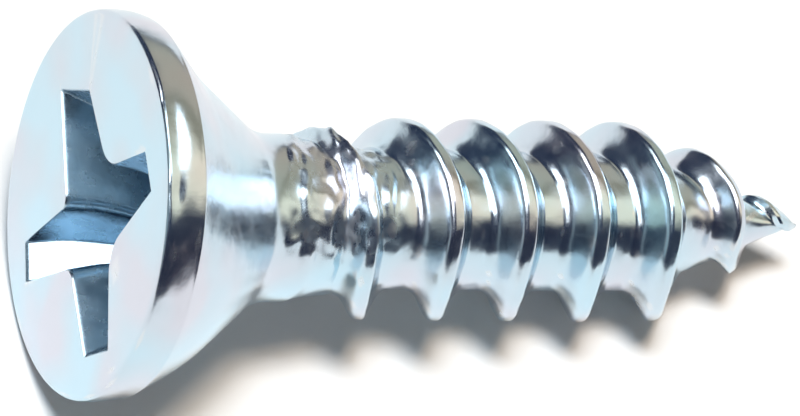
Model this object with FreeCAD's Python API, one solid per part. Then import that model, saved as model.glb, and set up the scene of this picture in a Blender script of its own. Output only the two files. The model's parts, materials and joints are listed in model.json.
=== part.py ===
import FreeCAD, Part
import math
import os
from FreeCAD import Vector

# A zinc-plated, cross-recessed, flat-head wood screw, number 10 by 3/4 inch. Sizes are in millimetres.
# The screw lies along X. The origin is the centre of the head's flat face, +X points out of that face,
# and the point of the screw is at -X. A "depth" is a distance behind the face. An angle is measured
# about the screw's axis, from +Y towards +Z.

INCH = 25.4
SCREW_LENGTH = 0.75 * INCH
THREAD_RADIUS = 0.190 * INCH / 2
PITCH = INCH / 13
PLATING_THICKNESS = 0.012

# The head: a flat face with a rounded edge, a short rim, a countersink cone and a neck fillet.
HEAD_RADIUS = 4.55
FACE_EDGE_ROUND = 0.30
RIM_HEIGHT = 0.90
RIM_TAPER = 0.05
COUNTERSINK_HALF_ANGLE = math.radians(38.5)
NECK_FILLET_RADIUS = 1.4

# The shank is plain as far as a small step, where the rolled blank starts.
SHANK_RADIUS = 2.0
SHANK_END_DEPTH = 5.0
BLANK_RADIUS = 1.93
BLANK_OVERLAP = 0.4

# The thread rises from the blank, runs at full size and tapers to the gimlet point.
ROOT_RADIUS = 1.68
FULL_THREAD_DEPTH = 7.4
CREST_TAPER_DEPTH = 14.6
ROOT_TAPER_DEPTH = 14.9
POINT_CREST_RADIUS = 0.06
POINT_ROOT_RADIUS = 0.04
CREST_WIDTH = 0.14
FLANK_ANGLE = math.radians(29)
LEAST_FLANK_WIDTH = 0.08
TOP_CREST_DEPTH = 8.12
TOP_CREST_ANGLE = math.radians(145)

# The driver recess is a cross of four tapered wings with a conical point, a little off the axis.
RECESS_REACH = 3.15
RECESS_TIP_WIDTH = 1.04
RECESS_FLARE = math.radians(9)
RECESS_CORNER_RADIUS = 0.62
RECESS_DEPTH = 2.9
RECESS_POINT_DEPTH = 3.4
RECESS_POINT_RADIUS = 0.85
RECESS_POINT_OVERLAP = 0.05
RECESS_END_SLOPE = math.radians(26.5)
RECESS_SIDE_SLOPE = math.radians(3)
RECESS_TURN = math.radians(70)
RECESS_OFFSET = 0.26
RECESS_OFFSET_ANGLE = math.radians(-35)
TOOL_HEIGHT = 1.0

# How finely the threaded surfaces are fitted: cross-sections per turn, and points across each band.
SECTIONS_PER_TURN = 16
CREST_POINTS = 5
FLANK_POINTS = 7
ROOT_POINTS = 13

FULL_TURN = 2 * math.pi
QUARTER_TURN = math.pi / 2


def at(depth, radius, angle):
    """The point at a depth, a radius and an angle about the screw's axis."""
    return Vector(-depth, radius * math.cos(angle), radius * math.sin(angle))


def ease(value, low, high):
    """Rise smoothly from 0 at low to 1 at high."""
    t = min(max((value - low) / (high - low), 0.0), 1.0)
    return t * t * (3.0 - 2.0 * t)


def thread_radius(depth, full_radius, taper_depth, point_radius):
    """A thread radius that eases away from the blank, runs level, and tapers to the point."""
    if depth < taper_depth:
        rise = ease(depth, SHANK_END_DEPTH, FULL_THREAD_DEPTH)
        return BLANK_RADIUS + (full_radius - BLANK_RADIUS) * rise
    along = (depth - taper_depth) / (SCREW_LENGTH - taper_depth)
    return full_radius + (point_radius - full_radius) * along


def thread_bands(depth, inset):
    """The cross-section of the thread as four bands of points: crest, flank, root and flank."""
    angle_per_mm = FULL_TURN / PITCH
    middle = TOP_CREST_ANGLE - (depth - TOP_CREST_DEPTH) * angle_per_mm
    root = thread_radius(depth, ROOT_RADIUS, ROOT_TAPER_DEPTH, POINT_ROOT_RADIUS) - inset
    crest = thread_radius(depth, THREAD_RADIUS, CREST_TAPER_DEPTH, POINT_CREST_RADIUS) - inset
    crest_inset = inset * math.tan(math.pi / 4 - FLANK_ANGLE / 2)
    half_crest = (CREST_WIDTH / 2 - crest_inset) * angle_per_mm
    flank_width = max((crest - root) * math.tan(FLANK_ANGLE), LEAST_FLANK_WIDTH)
    half_base = half_crest + flank_width * angle_per_mm
    corners = [
        (middle - half_crest, crest),
        (middle + half_crest, crest),
        (middle + half_base, root),
        (middle + FULL_TURN - half_base, root),
        (middle + FULL_TURN - half_crest, crest),
    ]
    counts = [CREST_POINTS, FLANK_POINTS, ROOT_POINTS, FLANK_POINTS]
    bands = []
    for (angle, radius), (next_angle, next_radius), count in zip(corners, corners[1:], counts):
        band = []
        for i in range(count):
            t = i / (count - 1)
            point_radius = radius + (next_radius - radius) * t
            band.append(at(depth, point_radius, angle + (next_angle - angle) * t))
        bands.append(band)
    return bands


def curve_through(points):
    """The smooth curve through evenly spaced points."""
    curve = Part.BSplineCurve()
    last = len(points) - 1
    curve.interpolate(Points=points, Parameters=[i / last for i in range(last + 1)])
    return curve


def surface_through(rows):
    """The smooth surface through a grid of points. Each edge depends only on that edge's points."""
    across = [curve_through(row) for row in rows]
    columns = []
    for j in range(across[0].NbPoles):
        columns.append(curve_through([curve.getPole(j + 1) for curve in across]))
    poles = []
    for i in range(columns[0].NbPoles):
        poles.append([column.getPole(i + 1) for column in columns])
    surface = Part.BSplineSurface()
    surface.buildFromPolesMultsKnots(
        poles,
        columns[0].getMultiplicities(),
        across[0].getMultiplicities(),
        columns[0].getKnots(),
        across[0].getKnots(),
        False,
        False,
        columns[0].Degree,
        across[0].Degree,
    )
    return surface


def threaded_part(inset):
    """The rolled blank with its thread and gimlet point, starting inside the shank."""
    start = SHANK_END_DEPTH - BLANK_OVERLAP
    span = SCREW_LENGTH - inset - start
    count = math.ceil(span / PITCH * SECTIONS_PER_TURN)
    sections = [thread_bands(start + span * i / count, inset) for i in range(count + 1)]
    faces = []
    for band in range(len(sections[0])):
        faces.append(surface_through([section[band] for section in sections]).toShape())
    for section in (sections[0], sections[-1]):
        edges = [curve_through(band).toShape() for band in section]
        faces.append(Part.Face(Part.Wire(edges)))
    shell = Part.makeShell(faces)
    shell.sewShape()
    return Part.makeSolid(shell)


def head_and_shank(inset):
    """The head, the neck fillet and the plain shank, turned about the screw's axis."""
    slope = COUNTERSINK_HALF_ANGLE
    shank = SHANK_RADIUS - inset
    fillet = NECK_FILLET_RADIUS + inset
    edge_round = FACE_EDGE_ROUND - inset
    round_bulge = edge_round * math.sqrt(0.5)
    rim_radius = HEAD_RADIUS - RIM_TAPER - inset
    rim_depth = RIM_HEIGHT - inset * math.tan(slope / 2)
    cone_end_radius = shank + fillet * (1 - math.cos(slope))
    cone_end_depth = rim_depth + (rim_radius - cone_end_radius) / math.tan(slope)
    shank_depth = cone_end_depth + fillet * math.sin(slope)
    end_depth = SHANK_END_DEPTH - inset

    face_centre = at(inset, 0, 0)
    face_edge = at(inset, HEAD_RADIUS - FACE_EDGE_ROUND, 0)
    edge_middle = at(FACE_EDGE_ROUND - round_bulge, HEAD_RADIUS - FACE_EDGE_ROUND + round_bulge, 0)
    rim_top = at(FACE_EDGE_ROUND, HEAD_RADIUS - inset, 0)
    rim_bottom = at(rim_depth, rim_radius, 0)
    cone_end = at(cone_end_depth, cone_end_radius, 0)
    middle_depth = shank_depth - fillet * math.sin(slope / 2)
    fillet_middle = at(middle_depth, shank + fillet * (1 - math.cos(slope / 2)), 0)
    shank_top = at(shank_depth, shank, 0)
    shank_end = at(end_depth, shank, 0)
    end_centre = at(end_depth, 0, 0)
    profile = [
        Part.makeLine(face_centre, face_edge),
        Part.Arc(face_edge, edge_middle, rim_top).toShape(),
        Part.makeLine(rim_top, rim_bottom),
        Part.makeLine(rim_bottom, cone_end),
        Part.Arc(cone_end, fillet_middle, shank_top).toShape(),
        Part.makeLine(shank_top, shank_end),
        Part.makeLine(shank_end, end_centre),
        Part.makeLine(end_centre, face_centre),
    ]
    return Part.Face(Part.Wire(profile)).revolve(Vector(0, 0, 0), Vector(1, 0, 0), 360)


def recess_outline(depth, inset):
    """The recess's cross-shaped outline at a depth, widened by the inset."""
    reach = RECESS_REACH - depth * math.tan(RECESS_END_SLOPE) + inset / math.cos(RECESS_END_SLOPE)
    draft = depth * math.tan(RECESS_SIDE_SLOPE)
    half_tip = RECESS_TIP_WIDTH / 2 - draft + inset / math.cos(RECESS_SIDE_SLOPE)
    flare = math.tan(RECESS_FLARE)
    corner = (half_tip + reach * flare) / (1 + flare)
    half_corner_angle = math.pi / 4 + RECESS_FLARE
    radius = RECESS_CORNER_RADIUS - inset
    cut = radius / math.tan(half_corner_angle)
    bend = corner + radius * (1 / math.sin(half_corner_angle) - 1) * math.sqrt(0.5)
    cut_out = corner + cut * math.cos(RECESS_FLARE)
    cut_side = corner - cut * math.sin(RECESS_FLARE)

    def on_wing(wing, out, side):
        """The point this far out along a wing and this far to its side."""
        angle = RECESS_TURN + wing * QUARTER_TURN
        y = out * math.cos(angle) - side * math.sin(angle)
        z = out * math.sin(angle) + side * math.cos(angle)
        return Vector(-depth, y, z)

    edges = []
    for wing in range(4):
        tip_left = on_wing(wing, reach, half_tip)
        arc_start = on_wing(wing, cut_out, cut_side)
        arc_end = on_wing(wing, cut_side, cut_out)
        edges.append(Part.makeLine(on_wing(wing, reach, -half_tip), tip_left))
        edges.append(Part.makeLine(tip_left, arc_start))
        edges.append(Part.Arc(arc_start, on_wing(wing, bend, bend), arc_end).toShape())
        edges.append(Part.makeLine(arc_end, on_wing(wing + 1, reach, -half_tip)))
    return Part.Wire(edges)


def recess_tool(inset):
    """The solid that the driver recess removes: a tapered cross with a conical point."""
    floor = RECESS_DEPTH + inset
    outlines = [recess_outline(depth, inset) for depth in (-TOOL_HEIGHT, floor)]
    cross = Part.makeLoft(outlines, True, True)
    point = Part.makeCone(
        RECESS_POINT_RADIUS + inset,
        0,
        RECESS_POINT_DEPTH - RECESS_DEPTH + RECESS_POINT_OVERLAP,
        Vector(RECESS_POINT_OVERLAP - floor, 0, 0),
        Vector(-1, 0, 0),
    )
    tool = cross.fuse(point)
    tool.translate(at(0, RECESS_OFFSET, RECESS_OFFSET_ANGLE))
    return tool


def screw(inset):
    """The whole screw as one solid, with its surface moved inwards by the inset."""
    return head_and_shank(inset).fuse(threaded_part(inset)).cut(recess_tool(inset)).Solids[0]


def steel_body():
    """The steel under the plating."""
    return screw(PLATING_THICKNESS)


def zinc_plating():
    """The plating, a closed skin between the screw's surface and the steel."""
    outside = screw(0.0).Shells[0]
    inside = steel_body().Shells[0].reversed()
    return Part.makeSolid(Part.Compound([outside, inside]))


PARTS = {
    "steel_body": steel_body,
    "zinc_plating": zinc_plating,
}

os.makedirs("parts", exist_ok=True)
for name, build in PARTS.items():
    build().exportStep("parts/" + name + ".step")
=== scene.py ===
import json
import math

import bmesh
import bpy
import numpy as np
from mathutils import Matrix, Vector, noise


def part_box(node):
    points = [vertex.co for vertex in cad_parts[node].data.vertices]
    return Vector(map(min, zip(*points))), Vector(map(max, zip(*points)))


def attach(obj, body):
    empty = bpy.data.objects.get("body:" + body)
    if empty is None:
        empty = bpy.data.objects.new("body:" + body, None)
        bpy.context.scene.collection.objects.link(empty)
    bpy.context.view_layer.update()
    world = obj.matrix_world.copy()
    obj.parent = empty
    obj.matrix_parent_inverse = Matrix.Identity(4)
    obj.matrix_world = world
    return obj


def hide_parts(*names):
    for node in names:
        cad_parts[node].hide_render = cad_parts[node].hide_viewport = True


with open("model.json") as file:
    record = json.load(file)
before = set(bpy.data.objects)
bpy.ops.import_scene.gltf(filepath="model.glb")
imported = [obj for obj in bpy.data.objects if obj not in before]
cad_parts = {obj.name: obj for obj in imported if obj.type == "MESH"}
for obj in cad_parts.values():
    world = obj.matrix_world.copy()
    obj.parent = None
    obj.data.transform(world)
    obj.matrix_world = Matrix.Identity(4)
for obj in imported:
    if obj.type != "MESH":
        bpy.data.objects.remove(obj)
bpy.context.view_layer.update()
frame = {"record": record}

# Everything is in metres. "Depth" is the distance behind the head's face, along the screw's axis.
MM = 0.001
TURN = 2 * math.pi
mounts = {mount["name"]: mount for mount in frame["record"]["mounts"]}
screw_low, screw_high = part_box("zinc_plating")
LENGTH = screw_high.x - screw_low.x
HEAD_RADIUS = (screw_high.y - screw_low.y) / 2
THREAD_RADIUS = mounts["wood_thread"]["dims"]["r_mm"] * MM
PLATING_THICKNESS = 0.012 * MM

# How the screw lies: this direction about its axis, measured from +Y towards +Z, faces the camera.
NEAR_ANGLE = math.radians(55)
NEAR = Vector((0, math.cos(NEAR_ANGLE), math.sin(NEAR_ANGLE)))
UP = Vector((0, -math.sin(NEAR_ANGLE), math.cos(NEAR_ANGLE)))
NEAR_ACROSS = np.array(NEAR.yz)
UP_ACROSS = np.array(UP.yz)
AXIS = Vector((-1, 0, 0))

# Head: the rim stands out furthest at its widest depth. It falls away from there by the bulge towards
# the cone and by the bevel towards the face.
RIM_HEIGHT = 0.98 * MM
RIM_WIDEST = 0.30 * MM
RIM_SPREAD = 0.05 * MM
RIM_BULGE = 0.08 * MM
FACE_BEVEL = 0.01 * MM
RIM_EDGE_ROUND = 0.12 * MM
FACE_EDGE_ROUND = 0.13 * MM
COUNTERSINK_HALF_ANGLE = math.radians(38.5)
NECK_FILLET_RADIUS = 1.4 * MM
SHANK_RADIUS = 2.0 * MM
SHANK_END = 5.0 * MM
HEAD_LEAN = 0.24 * MM
HEAD_TILT = math.radians(2.6)
LEAN_START = 0.6 * MM
LEAN_END = 2.4 * MM

# Knocks on the rim. Each is its depth in millimetres, its degrees up from the near side, then its
# half width, half height and how deep it goes, in millimetres.
RIM_KNOCKS = (
    (0.30, 21, 0.26, 0.80, 0.085),
    (0.26, 4, 0.16, 0.32, 0.060),
    (0.46, -9, 0.22, 0.28, 0.065),
)
RIM_ROUGHNESS = 0.03
RIM_FRONT = (0.05 * MM, 0.25 * MM)
RIM_BACK = (0.80 * MM, 0.95 * MM)
RIM_NEAR_SIDE = (3.5 * MM, 4.2 * MM)

# Marks of the rolling dies where the thread starts: a slanted ripple in broken skin. The pitch and the
# heights of the marks are in millimetres. Each pair is where a rise or a fade begins and ends.
MARKS_SLANT = 0.45
MARKS_PITCH = 0.52
MARKS_WANDER = 3
RIPPLE_HEIGHT = 0.034
RIPPLE_BASE = 0.7
BROKEN_HEIGHT = 0.05
FINE_HEIGHT = 0.035
MARKS_RISE = (5.1 * MM, 5.3 * MM)
MARKS_FADE = (6.6 * MM, 8.2 * MM)
MARKS_UNDERSIDE = (-1.25 * MM, -0.7 * MM)
ROLLED_RISE = (4.6 * MM, 5.2 * MM)
ROLLED_WAVES = 0.017
ROLLED_SWELLS = 0.014

# Driver recess: a cross of four wings that was struck a little unevenly.
# Each wing is: its reach and the width of its tip in millimetres, then in degrees how its tip is
# skewed and how its clockwise and anticlockwise sides flare towards the middle.
RECESS_WINGS = (
    (3.50, 1.00, 8, 14, 8),
    (3.15, 1.60, -19, 16, 4),
    (3.45, 0.95, -8, 3, 10),
    (3.30, 1.30, -10, 9, 12),
)
TIP_ROUND = 0.04 * MM
# The rounding between each wing and the next, in millimetres.
INNER_ROUNDS = (0.85, 0.35, 0.45, 0.95)
# The wings narrow with depth down to a floor, with a shallow point in its middle.
RECESS_MIDDLE = NEAR * 0.02 * MM - UP * 0.30 * MM
RECESS_TURN = NEAR_ANGLE + math.radians(18)
RECESS_TAPER = math.tan(math.radians(26.5)) / (3.3 * MM)
RECESS_DEPTH = 2.5 * MM
RECESS_POINT = 3.1 * MM
MOUTH_ROUND = 0.05 * MM
MOUTH_SPREAD = 0.015
GUARD_SPREAD = 1.012
ARC_POINTS = 7
SIDE_POINTS = 5
# Where the recess gets a duller, rougher finish and a painted shade, a darker colour: this far from the
# middle, less with depth.
DULL_AND_SHADED_REACH = 3.95 * MM
DULL_AND_SHADED_TAPER = 0.55
DULL_AND_SHADED_START = 0.01 * MM
DULL_AND_SHADED_END = RECESS_POINT + 0.3 * MM

# Thread
PITCH = 25.4 * MM / 13
BLANK_RADIUS = 1.93 * MM
ROOT_RADIUS = 1.68 * MM
FULL_THREAD = 7.4 * MM
CREST_START = SHANK_END - 0.5 * MM
CREST_TAPER = 15.05 * MM
ROOT_TAPER = 14.5 * MM
CREST_BLEND = 0.25 * MM
ROOT_BLEND = 0.12 * MM
POINT_RADIUS = 0.06 * MM
CREST_WIDTH = 0.34 * MM
CREST_ROUND = 0.16 * MM
ROOT_ROUND = 0.36 * MM
FLANK_SLOPE = math.tan(math.radians(29))
FULL_HEIGHT = THREAD_RADIUS - ROOT_RADIUS
LEAST_HEIGHT = 0.02 * MM
LEAST_SCALE = 0.15
WIDEST_BASE = 0.92
CREST_UP_DEPTH = 8.12 * MM
CREST_UP_ANGLE = NEAR_ANGLE + math.pi / 2
FIRST_TURN = -0.75
TURNS_PAST_POINT = 0.75
START_SHIFT = -0.25 * MM
START_SHIFT_FADE = (6.2 * MM, 7.6 * MM)
POINT_STRETCH = 0.28 * MM
POINT_STRETCH_RISE = (14.2 * MM, 16.6 * MM)
LAST_CREST_WIDENING = 0.22 * MM
LAST_CREST_RISE = (17 * MM, 18.2 * MM)
POINT_LEAN = 0.12 * MM
POINT_LEAN_RISE = (14.6 * MM, 16.2 * MM)
POINT_LEAN_FADE = (17 * MM, 18 * MM)
THREAD_SWAY = 0.30 * MM
SWAY_TURN = math.radians(10)
SWAY_RISE = (5.2 * MM, 6.6 * MM)
SWAY_FADE = (16.5 * MM, 18.5 * MM)
SHANK_STEP = 0.3 * MM

# How finely the surface is divided, round a turn and across each part of the thread, and how its
# seams are joined and its sharp edges found.
COLUMNS = 144
ROOT_STEPS = 8
FLANK_STEPS = 15
CREST_STEPS = 6
SEAM_GAP = 0.0002 * MM
SHARP_ANGLE = math.radians(40)


def ease(value, low, high):
    """Rises smoothly from 0 at low to 1 at high."""
    t = np.clip((value - low) / (high - low), 0, 1)
    return t * t * (3 - 2 * t)


def smooth_min(a, b, width):
    """The smaller of two values, blended where they are within a width of each other."""
    h = np.clip(0.5 + 0.5 * (b - a) / width, 0, 1)
    return b * (1 - h) + a * h - width * h * (1 - h)


def smooth_max(a, b, width):
    return -smooth_min(-a, -b, width)


def steps(count):
    """Even steps up to 1, without the 0 that they start from."""
    return np.linspace(0, 1, count + 1)[1:]


# ---- thread ----

def root_radius(depth):
    run_out = BLANK_RADIUS + (ROOT_RADIUS - BLANK_RADIUS) * ease(depth, SHANK_END, FULL_THREAD)
    taper = ROOT_RADIUS * (LENGTH - depth) / (LENGTH - ROOT_TAPER)
    return smooth_min(run_out, taper, ROOT_BLEND)


def crest_radius(depth):
    run_out = BLANK_RADIUS + (THREAD_RADIUS - BLANK_RADIUS) * ease(depth, CREST_START, FULL_THREAD)
    along = (depth - CREST_TAPER) / (LENGTH - CREST_TAPER)
    taper = THREAD_RADIUS + (POINT_RADIUS - THREAD_RADIUS) * along
    return smooth_min(run_out, taper, CREST_BLEND)


def crest_place(turns):
    """Depth of the crest after some turns: it starts early, and its pitch is longer near the point."""
    depth = SHANK_END + PITCH * turns
    shift = START_SHIFT * (1 - ease(depth, *START_SHIFT_FADE))
    return depth + shift + POINT_STRETCH * ease(depth, *POINT_STRETCH_RISE)


def crest_angle(turns):
    return CREST_UP_ANGLE - TURN * (SHANK_END + PITCH * turns - CREST_UP_DEPTH) / PITCH


def thread_strip():
    """The helical strip from one root to the next, wound from the shank to the point."""
    last_turn = (LENGTH - SHANK_END) / PITCH + TURNS_PAST_POINT
    row_count = math.ceil((last_turn - FIRST_TURN) * COLUMNS)
    turns = FIRST_TURN + np.arange(row_count + 1) / COLUMNS
    crest_depth = crest_place(turns)
    before = (crest_place(turns - 1) - crest_depth) / 2
    after = (crest_place(turns + 1) - crest_depth) / 2
    height = np.maximum(crest_radius(crest_depth) - root_radius(crest_depth), LEAST_HEIGHT)
    scale = np.clip(height / FULL_HEIGHT, LEAST_SCALE, 1)
    half_crest = CREST_WIDTH / 2 * scale + LAST_CREST_WIDENING * ease(crest_depth, *LAST_CREST_RISE)
    half_base = half_crest + height * FLANK_SLOPE + ROOT_ROUND * 0.5 * scale
    half_base = np.minimum(half_base, after * WIDEST_BASE)
    knots = [before, -half_base, -half_crest, half_crest, half_base, after]
    counts = [ROOT_STEPS, FLANK_STEPS, CREST_STEPS, FLANK_STEPS, ROOT_STEPS]
    across = []
    for low, high, count in zip(knots, knots[1:], counts):
        for i in range(count):
            across.append(low + (high - low) * i / count)
    across.append(knots[-1])
    x = np.array(across).T
    depth = np.clip(crest_depth[:, None] + x, SHANK_END, LENGTH)
    angle = crest_angle(turns)[:, None] + 0 * depth
    root = root_radius(depth)
    crest = crest_radius(depth)
    flank = (half_crest[:, None] + height[:, None] * FLANK_SLOPE - np.abs(x)) / FLANK_SLOPE
    ridge = smooth_max(flank, 0 * flank, ROOT_ROUND * scale[:, None])
    ridge = smooth_min(ridge, crest - root, CREST_ROUND * scale[:, None])
    ridge = np.clip(ridge, 0, None)
    blunt = np.sqrt(np.clip(1 - (1 - (LENGTH - depth) / POINT_RADIUS).clip(0, 1) ** 2, 0, 1))
    radius = (root + ridge) * blunt
    fade = ease(depth, SHANK_END, SHANK_END + SHANK_STEP)
    radius = SHANK_RADIUS * (1 - fade) + radius * fade
    below = (1 - np.sin(angle - NEAR_ANGLE)) / 2
    threaded = ease(depth, *SWAY_RISE) * (1 - ease(depth, *SWAY_FADE))
    depth = depth + THREAD_SWAY * np.sin(2 * (angle - NEAR_ANGLE) - SWAY_TURN) * below * threaded
    lean = POINT_LEAN * ease(depth, *POINT_LEAN_RISE) * (1 - ease(depth, *POINT_LEAN_FADE))
    depth = depth + lean * ridge / FULL_HEIGHT
    return depth, radius, angle


def rolling_marks(points):
    """How strongly the rolling dies marked the surface: only where the thread starts."""
    depth = -points[:, 0]
    slanted = depth + MARKS_SLANT * (points[:, 1:] @ NEAR_ACROSS)
    height = points[:, 1:] @ UP_ACROSS
    return ease(slanted, *MARKS_RISE) * ease(height, *MARKS_UNDERSIDE) * (1 - ease(depth, *MARKS_FADE))


def noise_at(place, along, across, offset=(0, 0, 0)):
    """Fixed noise at a place, finer or coarser along the screw's axis than across it."""
    scaled = Vector((place.x * along, place.y * across, place.z * across))
    return noise.noise(scaled + Vector(offset))


def mark_push(place, near):
    """The slanted ripple and the broken skin that the rolling dies left."""
    wander = MARKS_WANDER * noise_at(place, 0.9, 0.9)
    ripple = math.sin(TURN * (MARKS_SLANT * near - place.x) / MARKS_PITCH + wander)
    broken = noise_at(place, 2.2, 1.6, (2, 9, 4))
    fine = noise_at(place, 5, 3.5)
    return ripple * RIPPLE_HEIGHT * (RIPPLE_BASE + broken) + broken * BROKEN_HEIGHT + fine * FINE_HEIGHT


def rolled_push(place):
    """The slight waves of the whole rolled surface."""
    swells = noise_at(place, 0.7, 0.7, (7, 3, 1))
    return noise_at(place, 2.2, 2.2) * ROLLED_WAVES + swells * ROLLED_SWELLS


def knock_push(place, rim):
    """The knocks on the rim and its slight roughness."""
    turn = math.degrees(math.atan2(place.z, place.y) - NEAR_ANGLE)
    push = noise_at(place, 2.4, 1.5, (1, 4, 0)) * RIM_ROUGHNESS * rim
    for knock_depth, knock_turn, half_width, half_height, deep in RIM_KNOCKS:
        along = (-place.x - knock_depth) / half_width
        round_rim = math.radians(turn - knock_turn) * HEAD_RADIUS / MM / half_height
        push -= deep * math.exp(-along * along - round_rim * round_rim)
    return push


def dented(points):
    """Moves the points in and out a little: rolling marks, slight waves and knocks on the rim."""
    out = points.copy()
    near = points[:, 1:] @ NEAR_ACROSS
    radius = np.hypot(points[:, 1], points[:, 2])
    depth = -points[:, 0]
    marks = rolling_marks(points)
    rolled = ease(depth, *ROLLED_RISE) * ease(LENGTH - depth, 0, 1 * MM)
    rim = ease(depth, *RIM_FRONT) * (1 - ease(depth, *RIM_BACK)) * ease(near, *RIM_NEAR_SIDE)
    rows = zip((points / MM).tolist(), (near / MM).tolist(), marks, rolled, rim, radius)
    for i, (place, place_near, on_marks, on_rolled, on_rim, place_radius) in enumerate(rows):
        if place_radius == 0:
            continue
        place = Vector(place)
        push = 0
        if on_marks > 0:
            push += mark_push(place, place_near) * on_marks
        if on_rolled > 0:
            push += rolled_push(place) * on_rolled
        if on_rim > 0:
            push += knock_push(place, on_rim)
        out[i, 1:] *= 1 + push * MM / place_radius
    return out


# ---- head ----

def head_profile():
    """Depth and radius from the shank's end up to the edge of the face."""
    slope = COUNTERSINK_HALF_ANGLE
    rim_radius = HEAD_RADIUS + RIM_SPREAD - RIM_BULGE
    cone_end_radius = SHANK_RADIUS + NECK_FILLET_RADIUS * (1 - math.cos(slope))
    cone_end_depth = RIM_HEIGHT + (rim_radius - cone_end_radius) / math.tan(slope)
    shank_top = cone_end_depth + NECK_FILLET_RADIUS * math.sin(slope)
    points = [(SHANK_END, SHANK_RADIUS)]
    for t in steps(7):
        points.append((SHANK_END + (shank_top - SHANK_END) * t, SHANK_RADIUS))
    for t in steps(13):
        a = slope * t
        depth = shank_top - NECK_FILLET_RADIUS * math.sin(a)
        points.append((depth, SHANK_RADIUS + NECK_FILLET_RADIUS * (1 - math.cos(a))))
    edge_cut = RIM_EDGE_ROUND * math.tan(slope / 2)
    cone_top_depth = RIM_HEIGHT + edge_cut * math.cos(slope)
    cone_top_radius = rim_radius - edge_cut * math.sin(slope)
    for t in steps(13):
        depth = cone_end_depth + (cone_top_depth - cone_end_depth) * t
        points.append((depth, cone_end_radius + (cone_top_radius - cone_end_radius) * t))
    for t in steps(5):
        a = slope * (1 - t)
        depth = RIM_HEIGHT - edge_cut + RIM_EDGE_ROUND * math.sin(a)
        points.append((depth, rim_radius - RIM_EDGE_ROUND * (1 - math.cos(a))))
    rim_start = RIM_HEIGHT - edge_cut
    for t in steps(13):
        depth = rim_start + (FACE_EDGE_ROUND - rim_start) * t
        if depth > RIM_WIDEST:
            drop = RIM_BULGE * ((depth - RIM_WIDEST) / (rim_start - RIM_WIDEST)) ** 2
        else:
            drop = FACE_BEVEL * ((RIM_WIDEST - depth) / (RIM_WIDEST - FACE_EDGE_ROUND)) ** 2
        points.append((depth, HEAD_RADIUS + RIM_SPREAD - drop))
    edge_radius = points[-1][1]
    for t in steps(8):
        a = t * math.pi / 2
        depth = FACE_EDGE_ROUND * (1 - math.sin(a))
        points.append((depth, edge_radius - FACE_EDGE_ROUND * (1 - math.cos(a))))
    return points


def rounded_corner(before, corner, after, corner_round):
    """Points round one corner of an outline, from its first side to its second."""
    back = (before - corner).normalized()
    ahead = (after - corner).normalized()
    half_angle = math.acos(back @ ahead) / 2
    cut = corner_round / math.tan(half_angle)
    centre = corner + (back + ahead).normalized() * (corner_round / math.sin(half_angle))
    points = []
    for i in range(ARC_POINTS):
        on_chord = (corner + back * cut).lerp(corner + ahead * cut, i / (ARC_POINTS - 1))
        points.append(centre + (on_chord - centre).normalized() * corner_round)
    return points


def crossing(point, direction, other_point, other_direction):
    """Where two lines in the face's plane cross."""
    along = (other_point - point).cross(other_direction) / direction.cross(other_direction)
    return point + direction * along


def recess_corners():
    """The corners of the cross from its middle, anticlockwise, each with its rounding."""
    sides = []
    for wing, (reach, width, skew, *flares) in enumerate(RECESS_WINGS):
        turn = Matrix.Rotation(RECESS_TURN + wing * TURN / 4, 2)
        tip = Matrix.Rotation(math.radians(skew), 2)
        for side, flare in zip((-1, 1), flares):
            corner = Vector((reach, 0)) + tip @ Vector((0, side * width / 2))
            inwards = Vector((-1, side * math.tan(math.radians(flare))))
            sides.append((turn @ corner * MM, turn @ inwards))
    corners = []
    for wing, inner_round in enumerate(INNER_ROUNDS):
        clockwise, anticlockwise = sides[2 * wing:2 * wing + 2]
        next_side = sides[(2 * wing + 2) % len(sides)]
        corners.append((clockwise[0], TIP_ROUND))
        corners.append((anticlockwise[0], TIP_ROUND))
        corners.append((crossing(*anticlockwise, *next_side), inner_round * MM))
    return corners


def recess_outline(depth):
    """Points round the cross-shaped outline at a depth: it narrows evenly downwards."""
    corners = recess_corners()
    arcs = []
    for i, (corner, corner_round) in enumerate(corners):
        after = corners[(i + 1) % len(corners)][0]
        arcs.append(rounded_corner(corners[i - 1][0], corner, after, corner_round))
    points = []
    for arc, next_arc in zip(arcs, arcs[1:] + arcs[:1]):
        points += arc
        for i in range(1, SIDE_POINTS + 1):
            points.append(arc[-1].lerp(next_arc[0], i / (SIDE_POINTS + 1)))
    mouth = MOUTH_SPREAD * max(1 - depth / MOUTH_ROUND, 0) ** 2
    scale = 1 - depth * RECESS_TAPER + mouth
    return np.array(RECESS_MIDDLE.yz) + np.array(points) * scale


def outline_columns(depth, first_angle):
    """The recess outline in the order of the head's rings: falling angle, from the first column."""
    tip_middle = ARC_POINTS + SIDE_POINTS / 2
    even = (RECESS_TURN + (np.arange(COLUMNS) - tip_middle) * TURN / COLUMNS)[::-1]
    shift = int(np.argmin(np.abs((even - first_angle + math.pi) % TURN - math.pi)))
    return np.roll(recess_outline(depth)[::-1], -shift, axis=0)


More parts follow.
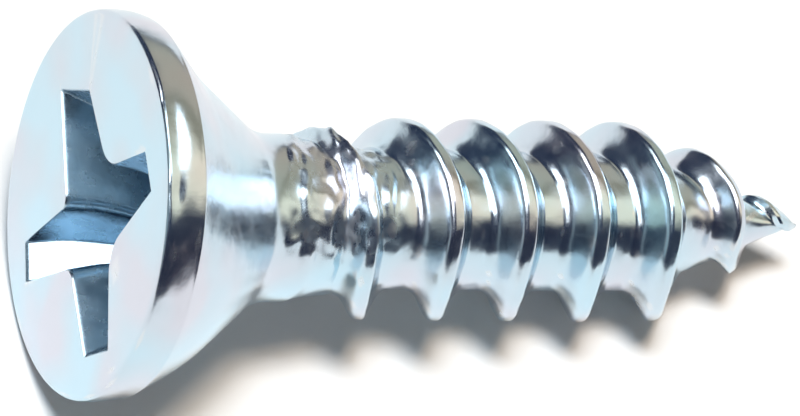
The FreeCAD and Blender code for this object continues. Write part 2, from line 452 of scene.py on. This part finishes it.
def head_rings(first_angle):
    """Rings of COLUMNS points from the shank's end, over the rim and face, down to the recess's floor."""
    angles = first_angle - TURN * np.arange(COLUMNS) / COLUMNS
    round_axis = np.column_stack([np.cos(angles), np.sin(angles)])
    rings = []
    for depth, radius in head_profile():
        rings.append((depth, round_axis * radius))
    rim = rings[-1][1]
    edge = outline_columns(0, first_angle)
    middle = np.array(RECESS_MIDDLE.yz)
    guard = middle + (edge - middle) * GUARD_SPREAD
    for t in steps(17):
        rings.append((0, rim + (guard - rim) * (1 - math.cos(t * math.pi)) / 2))
    rings.append((0, edge))
    for t in steps(25):
        depth = RECESS_DEPTH * t ** 1.5
        rings.append((depth, outline_columns(depth, first_angle)))
    floor_outline = rings[-1][1]
    for t in steps(8)[:-1]:
        depth = RECESS_DEPTH + (RECESS_POINT - RECESS_DEPTH) * (1 - (1 - t) ** 2)
        rings.append((depth, middle + (floor_outline - middle) * (1 - t)))
    return [np.column_stack([np.full(COLUMNS, -depth), across]) for depth, across in rings]


def bend_head(points):
    """The head stands a little off the shank's axis and leans back, as a cold-formed head often does."""
    weight = 1 - ease(-points[:, 0], LEAN_START, LEAN_END)
    height = points[:, 1:] @ UP_ACROSS
    bent = points.copy()
    bent[:, 0] -= np.tan(HEAD_TILT) * height * weight
    bent[:, 1:] += np.outer(weight * HEAD_LEAN, UP_ACROSS)
    return bent


# ---- meshes ----

def screw_mesh():
    """One closed surface: thread, shank, head and recess."""
    depth, radius, angle = thread_strip()
    rows, cols = depth.shape
    thread = np.stack([-depth, radius * np.cos(angle), radius * np.sin(angle)], axis=-1).reshape(-1, 3)
    rings = head_rings(angle[0, 0])
    centre = RECESS_MIDDLE.yz
    pole = np.array([[-RECESS_POINT, centre[0], centre[1]]])
    head = np.concatenate(rings + [pole])
    skin = bend_head(dented(np.concatenate([thread, head])))
    faces = []
    for i in range(rows - 1):
        for j in range(cols - 1):
            a = i * cols + j
            faces.append((a, a + 1, a + cols + 1, a + cols))
    base = rows * cols
    for k in range(len(rings) - 1):
        for j in range(COLUMNS):
            a = base + k * COLUMNS + j
            b = base + k * COLUMNS + (j + 1) % COLUMNS
            faces.append((a, b, b + COLUMNS, a + COLUMNS))
    last = base + (len(rings) - 1) * COLUMNS
    for j in range(COLUMNS):
        faces.append((last + j, last + (j + 1) % COLUMNS, last + COLUMNS))
    mesh = bpy.data.meshes.new("screw_skin")
    mesh.from_pydata(skin.tolist(), [], faces)
    return mesh


def clean(mesh):
    """Joins the seams, drops loose points and turns the normals outwards."""
    bm = bmesh.new()
    bm.from_mesh(mesh)
    bmesh.ops.remove_doubles(bm, verts=bm.verts, dist=SEAM_GAP)
    loose = [v for v in bm.verts if not v.link_faces]
    bmesh.ops.delete(bm, geom=loose, context="VERTS")
    bmesh.ops.recalc_face_normals(bm, faces=bm.faces)
    if bm.calc_volume(signed=True) < 0:
        bmesh.ops.reverse_faces(bm, faces=bm.faces)
    bm.to_mesh(mesh)
    bm.free()
    mesh.shade_smooth()
    mesh.set_sharp_from_angle(angle=SHARP_ANGLE)


def add_finish_masks(mesh):
    """Two attributes for the material: where the recess is, for its rougher finish and painted shade, and
    where the rolling marks are.
    """
    points = np.zeros(len(mesh.vertices) * 3, np.float32)
    mesh.vertices.foreach_get("co", points)
    points = points.reshape(-1, 3)
    from_middle = np.hypot(points[:, 1] - RECESS_MIDDLE.y, points[:, 2] - RECESS_MIDDLE.z)
    face_height = points[:, 1:] @ UP_ACROSS - HEAD_LEAN
    below_face = -points[:, 0] - math.tan(HEAD_TILT) * face_height
    inside = (below_face > DULL_AND_SHADED_START) & (from_middle < DULL_AND_SHADED_REACH - DULL_AND_SHADED_TAPER * below_face)
    inside &= below_face < DULL_AND_SHADED_END
    for name, amount in (("recessed", inside), ("marked", rolling_marks(points))):
        attribute = mesh.attributes.new(name, "FLOAT", "POINT")
        attribute.data.foreach_set("value", amount.astype(np.float32))


def piece(name, mesh, material, node):
    """Shows one mesh on the screw's body, in place of a CAD node."""
    obj = bpy.data.objects.new(name, mesh)
    bpy.context.scene.collection.objects.link(obj)
    mesh.materials.append(material)
    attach(obj, "root")
    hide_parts(node)


def inner_mesh(mesh):
    """The steel under the plating: the same surface, one plating thickness further in."""
    inner = mesh.copy()
    normals = np.zeros(len(mesh.vertices) * 3, np.float32)
    mesh.vertices.foreach_get("normal", normals)
    points = np.zeros(len(mesh.vertices) * 3, np.float32)
    mesh.vertices.foreach_get("co", points)
    inner.vertices.foreach_set("co", points - normals * PLATING_THICKNESS)
    inner.update()
    return inner


# ---- materials ----

ZINC_BLUE = (0.55, 0.74, 0.85, 1)
ZINC_GREY = (0.58, 0.70, 0.79, 1)
ZINC_VIOLET = (0.64, 0.66, 0.74, 1)
ZINC_WORN = (0.78, 0.80, 0.82, 1)
# Painted shade: the darker colour given to the recess's walls and floor.
ZINC_RECESS_PAINTED_SHADE = (0.37, 0.50, 0.60, 1)
STEEL_DARK = (0.45, 0.44, 0.43, 1)
STEEL_LIGHT = (0.60, 0.59, 0.57, 1)
PAPER_DARK = (0.89, 0.89, 0.89, 1)
PAPER_LIGHT = (0.91, 0.91, 0.91, 1)


class Nodes:
    """Short calls for building a node tree."""

    def __init__(self, tree):
        self.tree = tree

    def add(self, kind, **settings):
        node = self.tree.nodes.new(kind)
        for key, value in settings.items():
            setattr(node, key, value)
        return node

    def set(self, socket, value):
        if isinstance(value, bpy.types.NodeSocket):
            self.tree.links.new(value, socket)
        elif value is not None:
            socket.default_value = value

    def math(self, operation, a, b=None):
        node = self.add("ShaderNodeMath", operation=operation)
        self.set(node.inputs[0], a)
        self.set(node.inputs[1], b)
        return node.outputs[0]

    def remap(self, value, low, high, to_low, to_high, smooth=False):
        node = self.add("ShaderNodeMapRange", interpolation_type="SMOOTHSTEP" if smooth else "LINEAR")
        for socket, setting in zip(node.inputs, (value, low, high, to_low, to_high)):
            self.set(socket, setting)
        return node.outputs["Result"]

    def mix(self, factor, a, b):
        node = self.add("ShaderNodeMix", data_type="RGBA")
        self.set(node.inputs["Factor"], factor)
        self.set(node.inputs[6], a)
        self.set(node.inputs[7], b)
        return node.outputs[2]

    def noise(self, vector, scale, detail=2, roughness=0.5):
        node = self.add("ShaderNodeTexNoise")
        self.set(node.inputs["Vector"], vector)
        node.inputs["Scale"].default_value = scale
        node.inputs["Detail"].default_value = detail
        node.inputs["Roughness"].default_value = roughness
        return node.outputs["Fac"]

    def bump(self, height, distance, normal=None):
        node = self.add("ShaderNodeBump")
        self.set(node.inputs["Height"], height)
        node.inputs["Strength"].default_value = 1
        node.inputs["Distance"].default_value = distance
        self.set(node.inputs["Normal"], normal)
        return node.outputs["Normal"]

    def millimetres(self):
        """Object coordinates counted in millimetres."""
        node = self.add("ShaderNodeVectorMath", operation="SCALE")
        self.set(node.inputs[0], self.add("ShaderNodeTexCoord").outputs["Object"])
        node.inputs["Scale"].default_value = 1 / MM
        return node.outputs[0]


def new_material(name):
    material = bpy.data.materials.new(name)
    material.use_nodes = True
    return material, Nodes(material.node_tree), material.node_tree.nodes["Principled BSDF"]


def zinc_material():
    """Bright blue-passivated zinc: a faint rainbow tint, tumbling dents, worn edges, and a painted shade
    that darkens the recess.
    """
    material, nodes, shader = new_material("bright_zinc")
    place = nodes.millimetres()
    tint = nodes.noise(place, 0.45, detail=1)
    cool = nodes.mix(nodes.remap(tint, 0.35, 0.5, 0, 1), ZINC_BLUE, ZINC_GREY)
    colour = nodes.mix(nodes.remap(tint, 0.52, 0.68, 0, 1), cool, ZINC_VIOLET)
    wear = nodes.add("ShaderNodeNewGeometry").outputs["Pointiness"]
    worn = nodes.remap(wear, 0.52, 0.60, 0, 1)
    colour = nodes.mix(nodes.math("MULTIPLY", worn, 0.5), colour, ZINC_WORN)
    smudge = nodes.noise(place, 2.6, detail=4)
    rough = nodes.remap(smudge, 0.3, 0.7, 0.16, 0.25)
    rough = nodes.math("ADD", rough, nodes.math("MULTIPLY", worn, 0.05))
    recessed = nodes.add("ShaderNodeAttribute", attribute_name="recessed").outputs["Fac"]
    marked = nodes.add("ShaderNodeAttribute", attribute_name="marked").outputs["Fac"]
    rough = nodes.math("ADD", rough, nodes.math("MULTIPLY", recessed, 0.05))
    rough = nodes.math("ADD", rough, nodes.math("MULTIPLY", marked, 0.07))
    # Painted shade: the recess is coloured darker, as if in shade.
    colour = nodes.mix(recessed, colour, ZINC_RECESS_PAINTED_SHADE)
    dimples = nodes.bump(nodes.noise(place, 1.7, detail=2), 0.010 * MM)
    grain = nodes.bump(nodes.noise(place, 14, detail=3), 0.0012 * MM, dimples)
    shader.inputs["Metallic"].default_value = 1
    nodes.set(shader.inputs["Base Color"], colour)
    nodes.set(shader.inputs["Roughness"], rough)
    nodes.set(shader.inputs["Normal"], grain)
    return material


def steel_material():
    """Low-carbon steel with a fine grain, hidden under the plating."""
    material, nodes, shader = new_material("cold_formed_steel")
    place = nodes.millimetres()
    grain = nodes.noise(place, 9, detail=4)
    nodes.set(shader.inputs["Base Color"], nodes.mix(grain, STEEL_DARK, STEEL_LIGHT))
    shader.inputs["Metallic"].default_value = 1
    nodes.set(shader.inputs["Roughness"], nodes.remap(grain, 0.3, 0.7, 0.30, 0.45))
    nodes.set(shader.inputs["Normal"], nodes.bump(grain, 0.002 * MM))
    return material


def paper_material():
    material, nodes, shader = new_material("white_paper")
    grain = nodes.noise(nodes.millimetres(), 3, detail=3)
    nodes.set(shader.inputs["Base Color"], nodes.mix(grain, PAPER_DARK, PAPER_LIGHT))
    shader.inputs["Roughness"].default_value = 0.9
    shader.inputs["Specular IOR Level"].default_value = 0
    return material


# ---- studio ----

# What the plating mirrors. Each patch of the room has a colour, a range of degrees about the screw's
# axis (from +Y over the top), a range along the axis (from -1 at the point's side to 1 at the head's)
# and how soft the edges of these two ranges are.
ROOM_BASE = (0.03, 0.04, 0.075, 1)
ROOM_PATCHES = [
    ("far_wall", (0.57, 0.50, 0.39, 1), (112, 168), (-1.2, -0.24), 8, 0.06),
    ("beam", (0.34, 0.29, 0.21, 1), (92, 120), (-1.2, -0.24), 8, 0.06),
    ("ceiling", (1.21, 1.05, 0.80, 1), (57, 98), (-1.2, -0.20), 11, 0.08),
    ("dark_room", (0.03, 0.035, 0.06, 1), (-2, 44), (-1.2, 1.2), 8, 0.2),
    ("window", (3.0, 3.1, 3.2, 1), (76, 106), (-0.28, 0.62), 4, 0.08),
    ("door", (5.4, 5.3, 5.2, 1), (66, 128), (0.26, 0.66), 5, 0.05),
    ("front_wall", (0.40, 0.46, 0.48, 1), (-5, 150), (0.86, 1.2), 10, 0.05),
]
AMBIENT = (0.128, 0.113, 0.098, 1)
BACKDROP = (0.95, 0.95, 0.95, 1)

# The window's light: a warm and a cool part a few degrees apart, which tints the shadows' edges.
KEY_LIGHTS = (
    ("warm_key", (1.0, 0.84, 0.68), Vector((0.24, 0.13, 1.0))),
    ("cool_key", (0.70, 0.86, 1.0), Vector((0.36, 0.04, 1.0))),
)
KEY_ENERGY = 2.05
KEY_ANGLE = math.radians(16)

# The camera is on the near side, out from the head, and aims at a point on the thread.
VIEW_ANGLE = math.radians(63.4)
VIEW_ROLL = math.radians(0.76)
AIM_DEPTH = 8.22 * MM
AIM_HEIGHT = 0.27 * MM
CAMERA_DISTANCE = 186.4 * MM
CAMERA_LENS = 351.9

# The screw lies on its rim, at this depth, and on the thread, this much further along.
RIM_CONTACT = 0.5 * MM
CONTACT_LENGTH = 14.1 * MM
FLOOR_HALF_SIZE = 3.0


def band(nodes, value, low, high, soft):
    """1 between low and high, 0 outside, with soft edges."""
    rise = nodes.remap(value, low - soft, low + soft, 0, 1, smooth=True)
    fall = nodes.remap(value, high - soft, high + soft, 1, 0, smooth=True)
    return nodes.math("MULTIPLY", rise, fall)


def build_world():
    world = bpy.data.worlds.new("studio")
    bpy.context.scene.world = world
    world.use_nodes = True
    nodes = Nodes(world.node_tree)
    split = nodes.add("ShaderNodeSeparateXYZ")
    nodes.set(split.inputs[0], nodes.add("ShaderNodeTexCoord").outputs["Generated"])
    along, across, height = split.outputs
    angle = nodes.math("DEGREES", nodes.math("ARCTAN2", height, across))
    room = ROOM_BASE
    for _, colour, angles, spans, soft_angle, soft_span in ROOM_PATCHES:
        round_axis = band(nodes, angle, *angles, soft_angle)
        mask = nodes.math("MULTIPLY", round_axis, band(nodes, along, *spans, soft_span))
        room = nodes.mix(mask, room, colour)
    path = nodes.add("ShaderNodeLightPath")
    lit = nodes.mix(path.outputs["Is Glossy Ray"], AMBIENT, room)
    lit = nodes.mix(path.outputs["Is Camera Ray"], lit, BACKDROP)
    nodes.set(world.node_tree.nodes["Background"].inputs["Color"], lit)


def build_key_lights():
    for name, colour, direction in KEY_LIGHTS:
        data = bpy.data.lights.new(name, "SUN")
        data.color = colour
        data.energy = KEY_ENERGY
        data.angle = KEY_ANGLE
        light = bpy.data.objects.new(name, data)
        light.rotation_euler = direction.to_track_quat("Z", "Y").to_euler()
        light.visible_glossy = False
        bpy.context.scene.collection.objects.link(light)


def build_floor():
    """The sheet that the screw lies on: it touches the head's rim and the thread near the point."""
    tilt = math.atan2(HEAD_RADIUS - THREAD_RADIUS, CONTACT_LENGTH)
    corners = [(-FLOOR_HALF_SIZE, -FLOOR_HALF_SIZE, 0), (FLOOR_HALF_SIZE, -FLOOR_HALF_SIZE, 0)]
    corners += [(FLOOR_HALF_SIZE, FLOOR_HALF_SIZE, 0), (-FLOOR_HALF_SIZE, FLOOR_HALF_SIZE, 0)]
    mesh = bpy.data.meshes.new("floor")
    mesh.from_pydata(corners, [], [(0, 1, 2, 3)])
    mesh.materials.append(paper_material())
    floor = bpy.data.objects.new("floor", mesh)
    rim_bottom = Matrix.Translation((-RIM_CONTACT, 0, -HEAD_RADIUS))
    floor.matrix_world = rim_bottom @ Matrix.Rotation(tilt, 4, "Y")
    bpy.context.scene.collection.objects.link(floor)


def build_camera():
    aim = AXIS * AIM_DEPTH + UP * AIM_HEIGHT
    forward = AXIS * math.cos(VIEW_ANGLE) - NEAR * math.sin(VIEW_ANGLE)
    right = AXIS * math.sin(VIEW_ANGLE) + NEAR * math.cos(VIEW_ANGLE)
    camera_right = right * math.cos(VIEW_ROLL) + UP * math.sin(VIEW_ROLL)
    camera_up = UP * math.cos(VIEW_ROLL) - right * math.sin(VIEW_ROLL)
    data = bpy.data.cameras.new("photo_camera")
    data.lens = CAMERA_LENS
    data.sensor_width = 36
    data.clip_start = 0.001
    data.clip_end = 10
    camera = bpy.data.objects.new("photo_camera", data)
    turn = Matrix((camera_right, camera_up, -forward)).transposed()
    camera.matrix_world = Matrix.Translation(aim - forward * CAMERA_DISTANCE) @ turn.to_4x4()
    bpy.context.scene.collection.objects.link(camera)
    bpy.context.scene.camera = camera


# ---- assembly ----

skin = screw_mesh()
clean(skin)
add_finish_masks(skin)
core = inner_mesh(skin)
piece("zinc_skin", skin, zinc_material(), "zinc_plating")
piece("steel_core", core, steel_material(), "steel_body")
build_floor()
build_world()
build_key_lights()
build_camera()
bpy.context.scene.view_settings.view_transform = "Standard"
